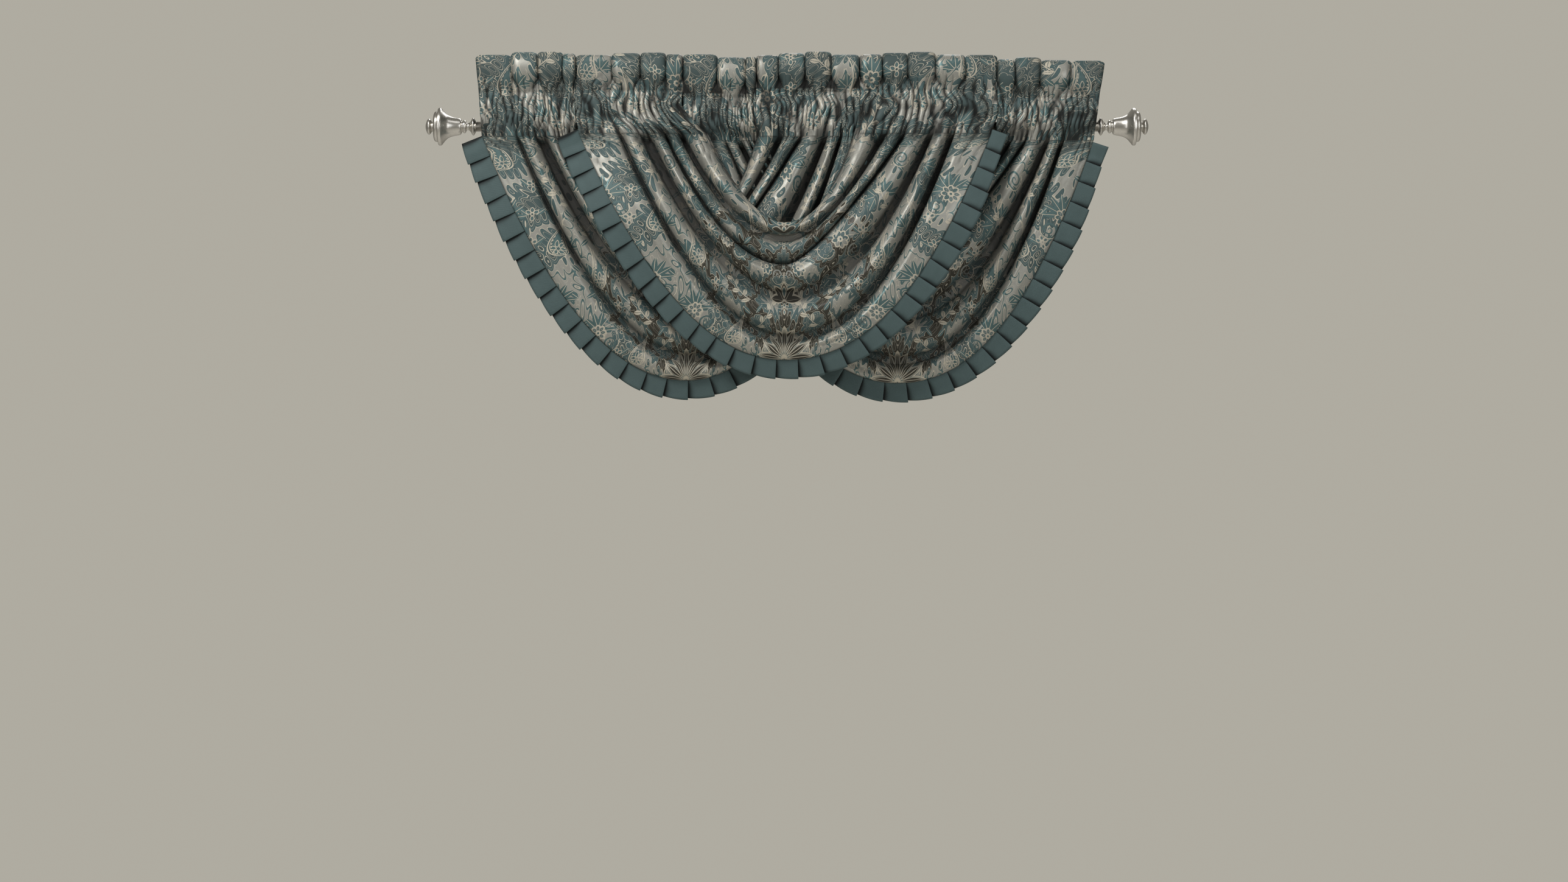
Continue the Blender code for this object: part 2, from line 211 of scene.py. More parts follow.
BORDER_STEPS = 9  # cells across the strip

# The woven pattern is worked out in the flat cloth, in millimetres, mirrored about each panel's
# middle. The figures repeat over a brick layout of cells, with three kinds of figure in turn.
CELL_WIDE, CELL_TALL = 92.0, 104.0
LINE = 1.0  # half the width of a cream outline
PETAL_START = 3.0  # distance of a petal's foot from the middle of its flower
LOW_MIDDLE = -292  # height of the middle of the close pattern low in the swag
LOW_WIDE, LOW_TALL = 215, 158  # half its width and half its height
OPEN_FLOWERS = ((-345, 1.25), (-432, 1.0), (-120, 0.8))  # (height of its foot, size) of each
PALM_FOOT = -466  # height from which the long leaves at the hem spread

# Colours of the yarns
TAUPE = (0.362, 0.362, 0.328)
TWILL = (0.074, 0.124, 0.129)
OLIVE = (0.046, 0.043, 0.033)
TEAL = (0.050, 0.098, 0.102)
TEAL_BRIGHT = (0.140, 0.232, 0.234)
CREAM = (0.60, 0.555, 0.45)
FRONT = (TAUPE, TWILL, OLIVE, TEAL, TEAL_BRIGHT, CREAM)
REVERSE = (
    (0.13, 0.15, 0.145), (0.24, 0.235, 0.205), (0.20, 0.19, 0.16), (0.20, 0.21, 0.19),
    (0.16, 0.19, 0.18), (0.10, 0.12, 0.12),
)
TRIM = (0.079, 0.119, 0.121)
NICKEL = (0.68, 0.66, 0.62)
FOLD_SHADE = 0.96  # painted shade: how much darker the cloth's colour is made deep in its folds
PAINTED_PLEAT_SHADOW = 0.95  # and the painted shadow on the border at the folded edge of the next pleat
REVERSE_SHADE = 0.2  # the same painted shade on the reverse, where those folds stand out
HEM_STITCH = 9.0  # distance of the stitching from a hem's edge, in millimetres

# Studio
FLOOR_HEIGHT, FLOOR_HALF = -1.95, 5.0
FLOOR_COLOUR, FLOOR_GLOW = (0.80, 0.78, 0.73), (0.43, 0.41, 0.36)
FLOOR_ROUGHNESS, FLOOR_GLOW_STRENGTH = 0.8, 0.5
ROOM_COLOUR, ROOM_STRENGTH = (0.42, 0.405, 0.36), 0.2
BACKDROP = (0.43, 0.41, 0.355)
BACKDROP_IN_GLOSS = 0.4  # share of the backdrop that shiny surfaces reflect
WHITE = (1.0, 1.0, 1.0)
# (lamp, place, point it faces, watts, width and height, colour)
LAMPS = [
    ("key", (-1.5, -1.7, 2.0), (0, 0, -0.2), 53, (1.0, 0.8), (1.0, 0.98, 0.95)),
    ("strip_0", (-1.15, -1.3, 0.25), (-0.55, 0, 0), 4.5, (0.22, 1.3), WHITE),
    ("strip_2", (1.15, -1.3, 0.25), (0.55, 0, 0), 4.5, (0.22, 1.3), WHITE),
    ("fill", (1.8, -3.2, 0.6), (0, 0, -0.2), 12, (1.6, 1.6), (0.95, 0.98, 1.0)),
    ("top", (0.3, -1.0, 1.8), (0, 0, -0.1), 5, (2.0, 0.5), WHITE),
    ("back", (0.5, 2.4, 2.0), (0, 0, -0.2), 22, (2.0, 1.0), WHITE),
]
CAMERA_DISTANCE = 6.0
CAMERA_HEIGHT = -0.519
FRAME_WIDTH = 2.576  # width of the picture at the cloth, in metres
SENSOR_WIDTH = 36  # in millimetres
CLOTH_PLANE = 0.03  # the cloth lies about this far in front of the rod's axis


def smoothstep(x):
    x = np.clip(x, 0.0, 1.0)
    return x * x * (3 - 2 * x)


def smooth_curve(at, values):
    """Values at fractional places in a table, on a line through its entries without corners."""
    values = np.asarray(values, float)
    low = np.clip(np.floor(at).astype(int), 0, len(values) - 2)
    share = at - low
    before, start = values[np.maximum(low - 1, 0)], values[low]
    end, after = values[low + 1], values[np.minimum(low + 2, len(values) - 1)]
    bend = 2 * before - 5 * start + 4 * end - after
    turn = 3 * (start - end) + after - before
    return start + 0.5 * share * (end - before + share * (bend + share * turn))


def noise(u, v, seed):
    """Smooth uneven values from 0 to 1 over a plane, about one swell in each unit square."""
    grid = np.random.default_rng(seed).random((NOISE_GRID, NOISE_GRID))
    low_u, low_v = np.floor(u).astype(int), np.floor(v).astype(int)
    share_u, share_v = smoothstep(u - low_u), smoothstep(v - low_v)
    next_u, next_v = (low_u + 1) % NOISE_GRID, (low_v + 1) % NOISE_GRID
    low_u, low_v = low_u % NOISE_GRID, low_v % NOISE_GRID
    near = grid[low_u, low_v] + (grid[next_u, low_v] - grid[low_u, low_v]) * share_u
    far = grid[low_u, next_v] + (grid[next_u, next_v] - grid[low_u, next_v]) * share_u
    return near + (far - near) * share_v


def bow(share, exponent):
    """Height of a bow at a share of its half width: 0 at its lowest point and 1 at its end."""
    bottom = BOW_ROUNDING ** exponent
    top = (1 + BOW_ROUNDING ** 2) ** (exponent / 2)
    return ((share ** 2 + BOW_ROUNDING ** 2) ** (exponent / 2) - bottom) / (top - bottom)


def half_bow(middle, end, seam, lowest, exponent, rows):
    """Points (x, z) spaced evenly from a bow's lowest point up to its end."""
    share = np.linspace(0, 1, FINE_CURVE)
    x = middle + (end - middle) * share
    z = lowest + (seam - lowest) * bow(share, exponent)
    run = np.concatenate([[0], np.cumsum(np.hypot(np.diff(x), np.diff(z)))])
    at = np.linspace(0, run[-1], rows)
    return np.interp(at, run, x), np.interp(at, run, z)


def swag_bows(swag):
    """Arrays of x and z, a row for each step round the swag and a column for each line of the
    cloth from the neck to the border."""
    seam = swag["seam"] * MM
    middle_seam = SWAGS["centre"]["seam"]
    deepen = (swag["lowest"] - swag["seam"]) / (CREASES[-1][1] - middle_seam)
    creases = range(len(CREASES))
    columns_x, columns_z = [], []
    for phase in np.linspace(0, len(ROLLS), COLUMNS):
        depth = np.interp(phase, creases, [crease[1] for crease in CREASES])
        lowest = seam + (depth - middle_seam) * deepen * MM
        arms = []
        for ends, curve in ((swag["left"], 2), (swag["right"], 3)):
            end = np.interp(phase, creases, ends) * MM
            exponent = np.interp(phase, creases, [crease[curve] for crease in CREASES])
            arms.append(half_bow(swag["middle"] * MM, end, seam, lowest, exponent, SWAG_ROWS // 2 + 1))
        (left_x, left_z), (right_x, right_z) = arms
        columns_x.append(np.concatenate([left_x[::-1], right_x[1:]]))
        columns_z.append(np.concatenate([left_z[::-1], right_z[1:]]))
    return np.transpose(columns_x), np.transpose(columns_z)


def gathers(share, level, seed):
    """Pinched gathers over a heading, 0 in their narrow creases and about 1 on their ridges."""
    wander = share * GATHERS + 1.7 * noise(share * 5, level * 1.8 + 9, seed)
    finer = share * FINE_GATHERS + 1.8 * noise(share * 9, level * 3.0 + 5, seed + 1)
    wide = np.abs(np.sin(np.pi * wander)) ** 0.65
    narrow = np.abs(np.sin(np.pi * finer)) ** 0.75
    wide = wide * (0.4 + 0.8 * noise(share * 8, level * 3.4 + 3, seed + 2))
    return 0.5 * wide + 0.5 * narrow * (0.15 + 1.1 * noise(share * 11, level * 5 + 7, seed + 3))


def swag_surface(swag):
    """Points of the swag, with rows from the left seam round to the right one and columns from the
    neck to the border, and how much painted shade each point gets, from 0 to 1."""
    x, z = swag_bows(swag)
    phase = np.linspace(0, len(ROLLS), COLUMNS)
    roll = np.minimum(phase.astype(int), len(ROLLS) - 1)
    share = phase - roll
    turn = np.linspace(0, 1, SWAG_ROWS + 1)
    below = (np.sin(np.pi * turn) ** 4)[:, None]
    first_arm = (turn <= 0.5)[:, None]
    table = np.array([row[1:] for row in ROLLS], float)[roll]
    crest_on_arm = np.where(first_arm, table[:, 1], table[:, 3])
    crest = crest_on_arm + (table[:, 2] - crest_on_arm) * below
    reach = TUBE_REACH + (TUBE_REACH_BELOW - TUBE_REACH) * below
    off = np.clip(np.abs(share - crest) / reach, 0, 1)
    profile = np.abs(np.cos(np.pi / 2 * off)) ** TUBE_ROUND
    last = roll == len(ROLLS) - 1
    edge = BAND_EDGE + (BAND_EDGE_BELOW - BAND_EDGE) * below
    beyond = np.clip((share - crest) / (1 - crest), 0, 1)
    band = edge + (1 - edge) * np.abs(np.cos(np.pi / 2 * beyond)) ** TUBE_ROUND
    profile = np.where(last & (share > crest), band, profile)
    at_crease = np.linspace(0, COLUMNS - 1, len(CREASES)).astype(int)
    crease_x, crease_z = x[:, at_crease], z[:, at_crease]
    widths = np.hypot(np.diff(crease_x, axis=1), np.diff(crease_z, axis=1))[:, roll]
    drop = swag["seam"] * MM - z
    settled = smoothstep(drop / ROLL_SETTLE)
    height = np.minimum(table[:, 0] * MM, widths * ROLL_STEEPEST) * profile
    height *= ROLL_AT_SEAM + (1 - ROLL_AT_SEAM) * settled
    # The cloth between two rolls lies back, most of all on the arms, where the rolls crowd together
    inner = smoothstep((phase - 0.25) / 0.3) * smoothstep((len(ROLLS) - 0.62 - phase) / 0.2)
    sunk_and_painted_shade = (1 - profile) * inner * np.clip(drop / VALLEY_SETTLE, 0, 1)
    height -= VALLEY_DEPTH * sunk_and_painted_shade * (1 - VALLEY_SHALLOWER * below)
    seed = swag["seed"]
    rows = turn[:, None] + 0 * phase
    lines = phase[None, :] + 0 * turn[:, None]
    height += ROLL_UNEVEN * (noise(lines * 1.1, rows * 9, seed) - 0.5) * settled * profile
    fine = noise(lines * 4.3 + 1.5 * noise(rows * 5, lines * 0.7, seed + 5), rows * 5, seed + 6) - 0.5
    height += FINE_FOLD * (2 + 2.5 * below) * fine * settled
    # The gathers of the heading run on into the top of the swag
    arm_of_row = np.where(first_arm, 0, 1)
    near_seam = np.exp(-drop / GATHER_FADE)
    spread = phase / len(ROLLS)
    painted_crease_shade = 0 * drop
    for arm in (0, 1):
        pinched = gathers(spread[None, :] + 0 * drop, -drop / POCKET_HEIGHT, seed + 30 * arm)
        height += GATHER * GATHERS_IN_SWAG * pinched * near_seam * (arm_of_row == arm)
        # Painted shade in the creases of these gathers, fading down the swag
        dark = np.clip((PAINTED_SHADE_BELOW - pinched) / 0.3, 0, 1) * np.exp(-drop / (12 * MM))
        painted_crease_shade += dark * (arm_of_row == arm)
    layer = (swag["hang_depth"] - swag["seam_depth"]) * smoothstep(drop / LAYER_SETTLE)
    y = (swag["seam_depth"] + layer) * MM - height
    # Painted shade, deep in the valleys between the rolls and less at the bottom of the swag, and some
    # near the neck and the hem band on the neck side of a crest
    sunk_and_painted_shade = sunk_and_painted_shade ** 1.6 * (1 - 0.6 * below) + 0.5 * (1 - profile) * (1 - inner) * (share < crest)
    return np.stack([x, y, z], axis=2), np.clip(sunk_and_painted_shade + painted_crease_shade, 0, 1)


def flounce_shape(across, flounces, tops, flat_end, taper):
    """How far each line of the cloth stands out in its flounce, its place in it from -1 to 1, and
    the height of that flounce's top. taper is the share of its full width at each level."""
    edges = np.array(flounces, float)
    way = 1 if edges[-1] > edges[0] else -1
    at = (edges[0] + (edges[-1] - edges[0]) * across) * way
    index = np.clip(np.searchsorted(edges * way, at, side="right") - 1, 0, len(edges) - 2)
    start, end = (edges * way)[index], (edges * way)[index + 1]
    place = np.clip(2 * (at - start) / (end - start) - 1, -1, 1)
    flat = (index == len(edges) - 2) & flat_end
    narrow = np.where(flat, 1 - 0.3 * (1 - taper), taper)
    out = (1 - np.clip(np.abs(place) / narrow, 0, 1) ** FLOUNCE_SQUARE) ** FLOUNCE_ROUND
    out *= np.where(flat, FLAT_PUFF, 1 + 0.2 * np.cos(index * 2.4 + edges[0]))
    return out, place * way, np.array(tops, float)[index] * MM


def heading_surface(swag, arm, seam_row, seam_painted_shade):
    """Points of one heading, with rows from its hem behind the rod to the one above the seam, the
    level of each row and how much painted shade each point gets."""
    ends = swag[arm]
    flounces, tops = swag[arm + "_flounces"], swag[arm + "_tops"]
    creases = range(len(CREASES))
    on_seam = np.interp(np.linspace(0, len(ROLLS), COLUMNS), creases, ends) * MM
    neck_seam, outer_seam = ends[0] * MM, ends[-1] * MM
    across = (on_seam - neck_seam) / (outer_seam - neck_seam)
    flat_end = (swag["name"], arm) in FLAT_ENDS
    places = []
    for index, row in enumerate(HEADING_ROWS[:-1]):
        places.append(index + np.arange(row[6]) / row[6])
    at = np.concatenate(places)
    level, depth, puff, pinch, flare = (
        smooth_curve(at, [row[column] for row in HEADING_ROWS])[:, None] for column in range(1, 6)
    )
    level = np.minimum(level, 2.0)
    front = (at > BRIM_ROW)[:, None]
    toward = np.where(front, -1, 1)
    seam, stitching = swag["seam"] * MM, swag["stitching"] * MM
    above = np.clip(level - 1, 0, 1)
    taper = FLOUNCE_TAPER + (1 - FLOUNCE_TAPER) * smoothstep(above / 0.6)
    out, place, top = flounce_shape(across, flounces, tops, flat_end, taper)
    brim = top - BRIM_NOTCH * np.abs(place) ** 9
    z = np.where(level < 1, seam + (stitching - seam) * level, stitching + (brim - stitching) * above)
    neck = (flounces[0] + (ends[0] - flounces[0]) * flare) * MM
    outer = outer_seam + (flounces[-1] * MM - outer_seam) * level / 2
    if (swag["name"], arm) not in FREE_ENDS:
        outer = outer_seam + (flounces[-1] * MM - outer_seam) * smoothstep(level / POCKET_WIDENS)
    x = neck + (outer - neck) * across
    seed = swag["seed"] + (30 if arm == "right" else 0)
    # A flounce swells sideways, but not past the two ends of the heading
    within_ends = (1 - across ** 12) * (1 - (1 - across) ** 12)
    x += FLOUNCE_BULGE * place * (1 - place ** 6) * np.sin(np.pi * above) * within_ends
    folded = gathers(across + 0 * level, level + 0 * across, seed)
    # Short tucks rise from the stitching into the foot of each flounce
    tucks = np.exp(-((level - 1) / TUCK_REACH) ** 2) * np.where(level > 1, 1, 0.4)
    y = depth * MM + toward * (puff * PUFF * out + pinch * GATHER * (folded - 0.2))
    y = y + toward * tucks * TUCK * np.sin(place * 9 + 2)
    y = y - FLARE_FORWARD * np.minimum(np.clip(flare, 0, 1) * 2, 1) * (1 - across) ** 2
    y = y - toward * STITCH_GROOVE * np.exp(-((level - 1) / STITCH_REACH) ** 2)
    # The last rows run into the top row of the swag
    run_in = smoothstep(1 - level / RUN_IN) * front
    y = y + run_in * (seam_row[:, 1] - y[-1])
    # The hem behind the rod stays clear of the rod and of the front cloth
    back = max(swag["seam_depth"] * MM + BACK_HEM_BEHIND, BACK_HEM_CLEAR)
    y = y + smoothstep(1 - level / 0.2) * (1 - front) * (back - y)
    points = np.stack([x, y, z + 0 * y], axis=2)
    # Painted shade in the gaps between the flounces and in the creases of the pocket
    painted_gap_shade = np.where(level > 1, (1 - out) * (0.35 + 0.65 * (puff > 0.2)), 0)
    painted_gap_shade = np.where(flat_end & (out < FLAT_PUFF * 1.01), painted_gap_shade * 0.35, painted_gap_shade)
    painted_crease_shade = np.clip((PAINTED_SHADE_BELOW - folded) / 0.26, 0, 1)
    sunk_and_painted_shade = np.clip(painted_gap_shade + pinch * painted_crease_shade, 0, 1)
    sunk_and_painted_shade = sunk_and_painted_shade + run_in * (seam_painted_shade - sunk_and_painted_shade)
    return points[:-1], level[:-1, 0], sunk_and_painted_shade[:-1] + 0 * y[:-1]


def lengths_along(points, axis):
    """Length of cloth from the first point of each row (axis 1) or of each column (axis 0)."""
    steps = np.linalg.norm(np.diff(points, axis=axis), axis=2)
    start = np.zeros_like(np.take(steps, [0], axis=axis))
    return np.concatenate([start, np.cumsum(steps, axis=axis)], axis=axis)


def flat_cut(swag, left, middle, right, levels):
    """Where each point of a panel lies in its flat cut, in metres from the panel's middle: its place
    seen from the front, spread outward by the cloth that its folds take up. Also the distance of
    each point from the nearest turned and stitched hem."""
    across = lengths_along(middle, 1)
    seen = lengths_along(middle * [1, 0, 1], 1)
    along = np.gradient(middle, axis=0)
    along[..., 1] = 0
    along /= np.linalg.norm(along, axis=2, keepdims=True)
    spare = across - seen
    swag_x = middle[..., 0] - swag["middle"] * MM + along[..., 2] * spare
    swag_z = middle[..., 2] - along[..., 0] * spare
    swag_z += PATTERN_FOOT - swag_z.min()
    parts, hems = [np.stack([swag_x, swag_z], axis=2)], [across]
    for points, row, way in ((left, 0, -1), (right, -1, 1)):
        own = lengths_along(points, 1)
        full = own[len(own) // 2:].mean(axis=0)
        shift = smoothstep(np.clip(levels[:, None], 0, 1))
        wider = (full - across[row]) * shift
        rise = lengths_along(points[::-1], 0)[::-1].mean(axis=1)[:, None]
        part = np.stack([swag_x[row] + way * wider, swag_z[row] + rise + 0 * wider], axis=2)
        hem = np.minimum(own, own[:, -1:] - own)
        parts = [part] + parts if way < 0 else parts + [part[::-1]]
        hems = [hem] + hems if way < 0 else hems + [hem[::-1]]
    return np.concatenate(parts), np.concatenate(hems)


def add_object(name, data):
    made = bpy.data.objects.new(name, data)
    bpy.context.scene.collection.objects.link(made)
    return made


def add_mesh(name, points, faces, finishes):
    mesh = bpy.data.meshes.new(name)
    mesh.from_pydata(points, [], faces)
    for finish in finishes:
        mesh.materials.append(finish)
    return add_object(name, mesh)


def add_sheet(name, points, flat, thickness, finishes, stored):
    """A sheet of cloth with some thickness, from a grid of points and their places when flat.
    stored holds values kept at each point for the materials, by name."""
    rows, columns = points.shape[:2]
    index = np.arange(rows * columns).reshape(rows, columns)
    faces = np.stack([index[:-1, :-1], index[:-1, 1:], index[1:, 1:], index[1:, :-1]], axis=2)
    faces = faces.reshape(-1, 4)
    sheet = add_mesh(name, points.reshape(-1, 3).tolist(), faces.tolist(), finishes)
    mesh = sheet.data
    layer = mesh.uv_layers.new(name="flat_cloth")
    layer.data.foreach_set("uv", flat.reshape(-1, 2)[faces.ravel()].ravel().astype(np.float32))
    for label, values in stored.items():
        made = mesh.attributes.new(label, "FLOAT", "POINT")
        made.data.foreach_set("value", values.ravel().astype(np.float32))
    mesh.shade_smooth()
    solid = sheet.modifiers.new("thickness", "SOLIDIFY")
    solid.thickness = thickness
    solid.offset = 0
    solid.material_offset = len(finishes) - 1
    return sheet


def set_back(points, reach):
    """How far each point lies behind the mean of its neighbours across the cloth, in metres."""
    depth = points[..., 1]
    padded = np.pad(depth, ((0, 0), (reach, reach)), mode="edge")
    total = np.cumsum(np.pad(padded, ((0, 0), (1, 0))), axis=1)
    window = 2 * reach + 1
    return depth - (total[:, window:] - total[:, :-window]) / window


def make_panel(name, swag, finishes):
    """One valance panel. Returns it, its hem along the border and its points when flat."""
    middle, sunk_and_painted_shade = swag_surface(swag)
    left, levels, left_painted_shade = heading_surface(swag, "left", middle[0], sunk_and_painted_shade[0])
    right, _, right_painted_shade = heading_surface(swag, "right", middle[-1], sunk_and_painted_shade[-1])
    points = np.concatenate([left, middle, right[::-1]])
    sunk_and_painted_shade = np.concatenate([left_painted_shade, sunk_and_painted_shade, right_painted_shade[::-1]])
    # Painted shade in the hollows, on the side of the room only, and less at the bottom of the swag
    facing = np.ones(len(points))
    facing[:len(left) // 2] = facing[-(len(right) // 2):] = 0
    facing[len(left) + SWAG_ROWS // 4:-(len(right) + SWAG_ROWS // 4)] = 0.6
    for reach, full in HOLLOWS:
        hollow = np.clip(set_back(points, reach) / full, 0, 1) * facing[:, None]
        sunk_and_painted_shade = np.maximum(sunk_and_painted_shade, hollow * 0.9)
    flat, hem = flat_cut(swag, left, middle, right, levels)
    above = (levels * (swag["stitching"] - swag["seam"]) * MM)[:, None] + 0 * left[..., 0]
    below = middle[..., 2] - swag["seam"] * MM
    from_seam = np.concatenate([above, below, above[::-1]])
    stored = {"from_hem": hem, "sunk_and_painted_shade": sunk_and_painted_shade, "from_seam": from_seam}
    panel = add_sheet(f"panel_{name}", points, flat, CLOTH, finishes, stored)
    return panel, middle[:, -1], flat


def pleat_path(pleats, pitch, rng):
    """Steps along the pleated strip: (distance down the hem, height over the strip's back as a
    share, length of cloth used, lean along the hem, distance from the fold whose painted shadow
    falls on it). Each pleat is a face, a folded edge and the cloth folded back below it."""
    steps = []
    used = lean = 0.0
    for pleat in range(pleats):
        start = pleat * pitch
        last = pleat == pleats - 1
        long = pitch + (0 if last else PLEAT_LAP)
        uneven = 1 + 0.3 * (rng.random() - 0.5)
        new_lean = PLEAT_LEAN * (2 * rng.random() - 1)
        for share in np.linspace(0, 1, 12) ** 1.4:
            height = PLEAT_LOW + (1 - PLEAT_LOW) * share * uneven
            height += 0.12 * math.sin(math.pi * share)
            shift = lean + (new_lean - lean) * share
            steps.append((start + long * share, height, used + long * share, shift, long * share))
        lean = new_lean
        used += long
        if last:
            break
        fold_at, top = steps[-1][:2]
        under = fold_at - PLEAT_UNDER
        for share in (0.25, 0.6, 1.0):
            angle = math.pi * share
            height = top - 0.14 * (1 - math.cos(angle))
            steps.append((fold_at + FOLD_ROUND * math.sin(angle), height, used, lean, PLEAT_PITCH))
            used += FOLD_ROUND
        for share in (0.4, 0.8, 1.0):
            back = PLEAT_UNDER * share
            height = (top - 0.28) * (1 - share) + 0.16 * share
            steps.append((fold_at - back, height, used + back, lean, 0))
        used += PLEAT_UNDER
        steps.append((under - 0.4 * MM, 0.04, used + 0.3 * FOLD_BACK, lean, 0))
        steps.append((under + 1.0 * MM, 0.0, used + 0.9 * FOLD_BACK, lean, 0))
        used += FOLD_BACK
        for share in (0.5, 0.9):
            ahead = PLEAT_UNDER * share
            steps.append((under + ahead, 0.02 + 0.15 * share ** 4, used + ahead, lean, 0))
        used += PLEAT_UNDER
    return steps


def make_border(name, hem, rise, seed, finishes):
    """The pleated strip along a swag's hem, whose ends rise past it. Returns it and its points
    when flat."""
    rng = np.random.default_rng(seed)
    ends = [edge[0] + (edge[0] - edge[1]) * rise / np.linalg.norm(edge[0] - edge[1])
            for edge in (hem, hem[::-1])]
    hem = np.concatenate([[ends[0]], hem, [ends[1]]])
    run = np.concatenate([[0], np.cumsum(np.linalg.norm(np.diff(hem, axis=0), axis=1))])
    heading = np.gradient(hem, axis=0)
    heading[:, 1] = 0
    heading /= np.linalg.norm(heading, axis=1, keepdims=True)
    long = run[-1] - 2 * BORDER_BELOW_SEAM
    pleats = round(long / PLEAT_PITCH)
    rows, flat, sunk_and_painted_shade = [], [], []
    back = np.array([0, 1, 0])
    for distance, height, used, lean, from_fold in pleat_path(pleats, long / pleats, rng):
        at = BORDER_BELOW_SEAM + distance
        on_hem = np.array([np.interp(at, run, hem[:, axis]) for axis in range(3)])
        ahead = np.array([np.interp(at, run, heading[:, axis]) for axis in range(3)])
        ahead /= np.linalg.norm(ahead)
        outward = np.array([ahead[2], 0, -ahead[0]])
        below = math.sin(math.pi * min(max(at / run[-1], 0), 1)) ** 4
        width = BORDER_WIDTH + (BORDER_WIDTH_BELOW - BORDER_WIDTH) * below
        to_end = smoothstep((run[-1] - at) / BORDER_NARROWS)
        width += PLEAT_FLARE * max(height - PLEAT_LOW, 0)
        width *= BORDER_NARROWEST + (1 - BORDER_NARROWEST) * to_end
        way = outward * math.cos(BORDER_TILT * below) + back * math.sin(BORDER_TILT * below)
        start = on_hem + back * BORDER_BEHIND - outward * BORDER_UNDER
        line = []
        for cell in range(BORDER_STEPS + 1):
            share = cell / BORDER_STEPS
            lift = PLEAT_RISE * height * (PLEAT_AT_HEM + (1 - PLEAT_AT_HEM) * share ** 0.7)
            across = (outward * BORDER_UNDER + way * width) * share
            line.append(start + across - back * lift + ahead * lean * share)
            flat.append((used, share * (width + BORDER_UNDER)))
            # Painted shadow on each pleat beside the folded edge that laps over it, wider towards the
            # outer edge
            reach = PLEAT_SHADE * (0.15 + math.sin(math.pi * min(share, 0.75) / 1.5))
            sunk_and_painted_shade.append(min(1.5 * math.exp(-(from_fold / reach) ** 2), 1))
        rows.append(line)
    points = np.array(rows)
    flat = np.array(flat).reshape(len(rows), BORDER_STEPS + 1, 2)
    stored = {"sunk_and_painted_shade": np.array(sunk_and_painted_shade)}
    return add_sheet(f"pleats_{name}", points, flat, BORDER_CLOTH, finishes, stored), flat


def turned(name, outline, sides, finish):
    """A solid of revolution about the X axis, from an outline of (x, radius)."""
    turns = 2 * math.pi * (np.arange(sides) + 0.5) / sides
    points = [(x, r * math.cos(turn), r * math.sin(turn)) for x, r in outline for turn in turns]
    faces = []
    for ring in range(len(outline) - 1):
        a, b = ring * sides, (ring + 1) * sides
        for side in range(sides):
            after = (side + 1) % sides
            faces.append((a + side, a + after, b + after, b + side))
    faces.append(tuple(range(sides))[::-1])
    faces.append(tuple(range((len(outline) - 1) * sides, len(outline) * sides)))
    made = add_mesh(name, points, faces, [finish])
    made.data.shade_smooth()
    return made


class Value:
    """A number or colour at each place on a surface, worked out by a chain of nodes."""

    def __init__(self, tree, socket):
        self.tree, self.socket = tree, socket

    def __add__(self, other):
        return step("ADD", self, other)

    def __sub__(self, other):
        return step("SUBTRACT", self, other)

    def __rsub__(self, other):
        return step("SUBTRACT", other, self)

    def __mul__(self, other):
        return step("MULTIPLY", self, other)

    def __truediv__(self, number):
        return self * (1 / number)

    def __neg__(self):
        return step("MULTIPLY", self, -1.0)

    __radd__ = __add__
    __rmul__ = __mul__


def step(kind, *terms):
    """One math node fed with numbers and other values."""
    tree = next(term.tree for term in terms if isinstance(term, Value))
    node = tree.nodes.new("ShaderNodeMath")
    node.operation = kind
    for slot, term in zip(node.inputs, terms):
        if isinstance(term, Value):
            tree.links.new(term.socket, slot)
        else:
            slot.default_value = term
    return Value(tree, node.outputs[0])


def math_node(kind):
    return lambda *terms: step(kind, *terms)


absolute, minimum, maximum = (math_node(kind) for kind in ("ABSOLUTE", "MINIMUM", "MAXIMUM"))
sine, cosine, arctan2 = (math_node(kind) for kind in ("SINE", "COSINE", "ARCTAN2"))
floor, root, fma = (math_node(kind) for kind in ("FLOOR", "SQRT", "MULTIPLY_ADD"))


def rounded(a):
    return floor(a + 0.5)


def clamp(a):
    """The last node of a value, kept from 0 to 1."""
    a.socket.node.use_clamp = True
    return a


def joined(a, b):
    """Socket of the vector (a, b, 0)."""
    node = a.tree.nodes.new("ShaderNodeCombineXYZ")
    a.tree.links.new(a.socket, node.inputs[0])
    a.tree.links.new(b.socket, node.inputs[1])
    return node.outputs[0]


def hypot(a, b):
    """Length of the vector (a, b)."""
    length = a.tree.nodes.new("ShaderNodeVectorMath")
    length.operation = "LENGTH"
    a.tree.links.new(joined(a, b), length.inputs[0])
    return Value(a.tree, length.outputs["Value"])


def leaf(a, b, length, width):
    """Distance to the edge of a pointed leaf that lies along a. Like every distance to an edge
    here, it is below zero inside."""
    half_length, half_width = length / 2, width / 2
    radius = (half_length ** 2 + half_width ** 2) / (2 * half_width)
    return hypot(a, absolute(b) + (radius - half_width)) - radius


def turned_place(a, b, centre_a, centre_b, angle):
    """Coordinates of (a, b) in a frame at that centre, turned by angle degrees."""
    c, s = math.cos(math.radians(angle)), math.sin(math.radians(angle))
    along = fma(a, c, fma(b, s, -centre_a * c - centre_b * s))
    beside = fma(b, c, fma(a, -s, centre_a * s - centre_b * c))
    return along, beside


def inside(distance, soft=0.35):
    """1 where a distance is below zero and 0 outside, with a narrow soft edge."""
    return clamp(fma(distance, -1 / soft, 0.5))


def line_at(distance, half_width=LINE):
    """1 on a line where a distance is near zero."""
    return inside(absolute(distance) - half_width)


def either(first, *others):
    """The strongest of several masks."""
    return reduce(maximum, others, first)


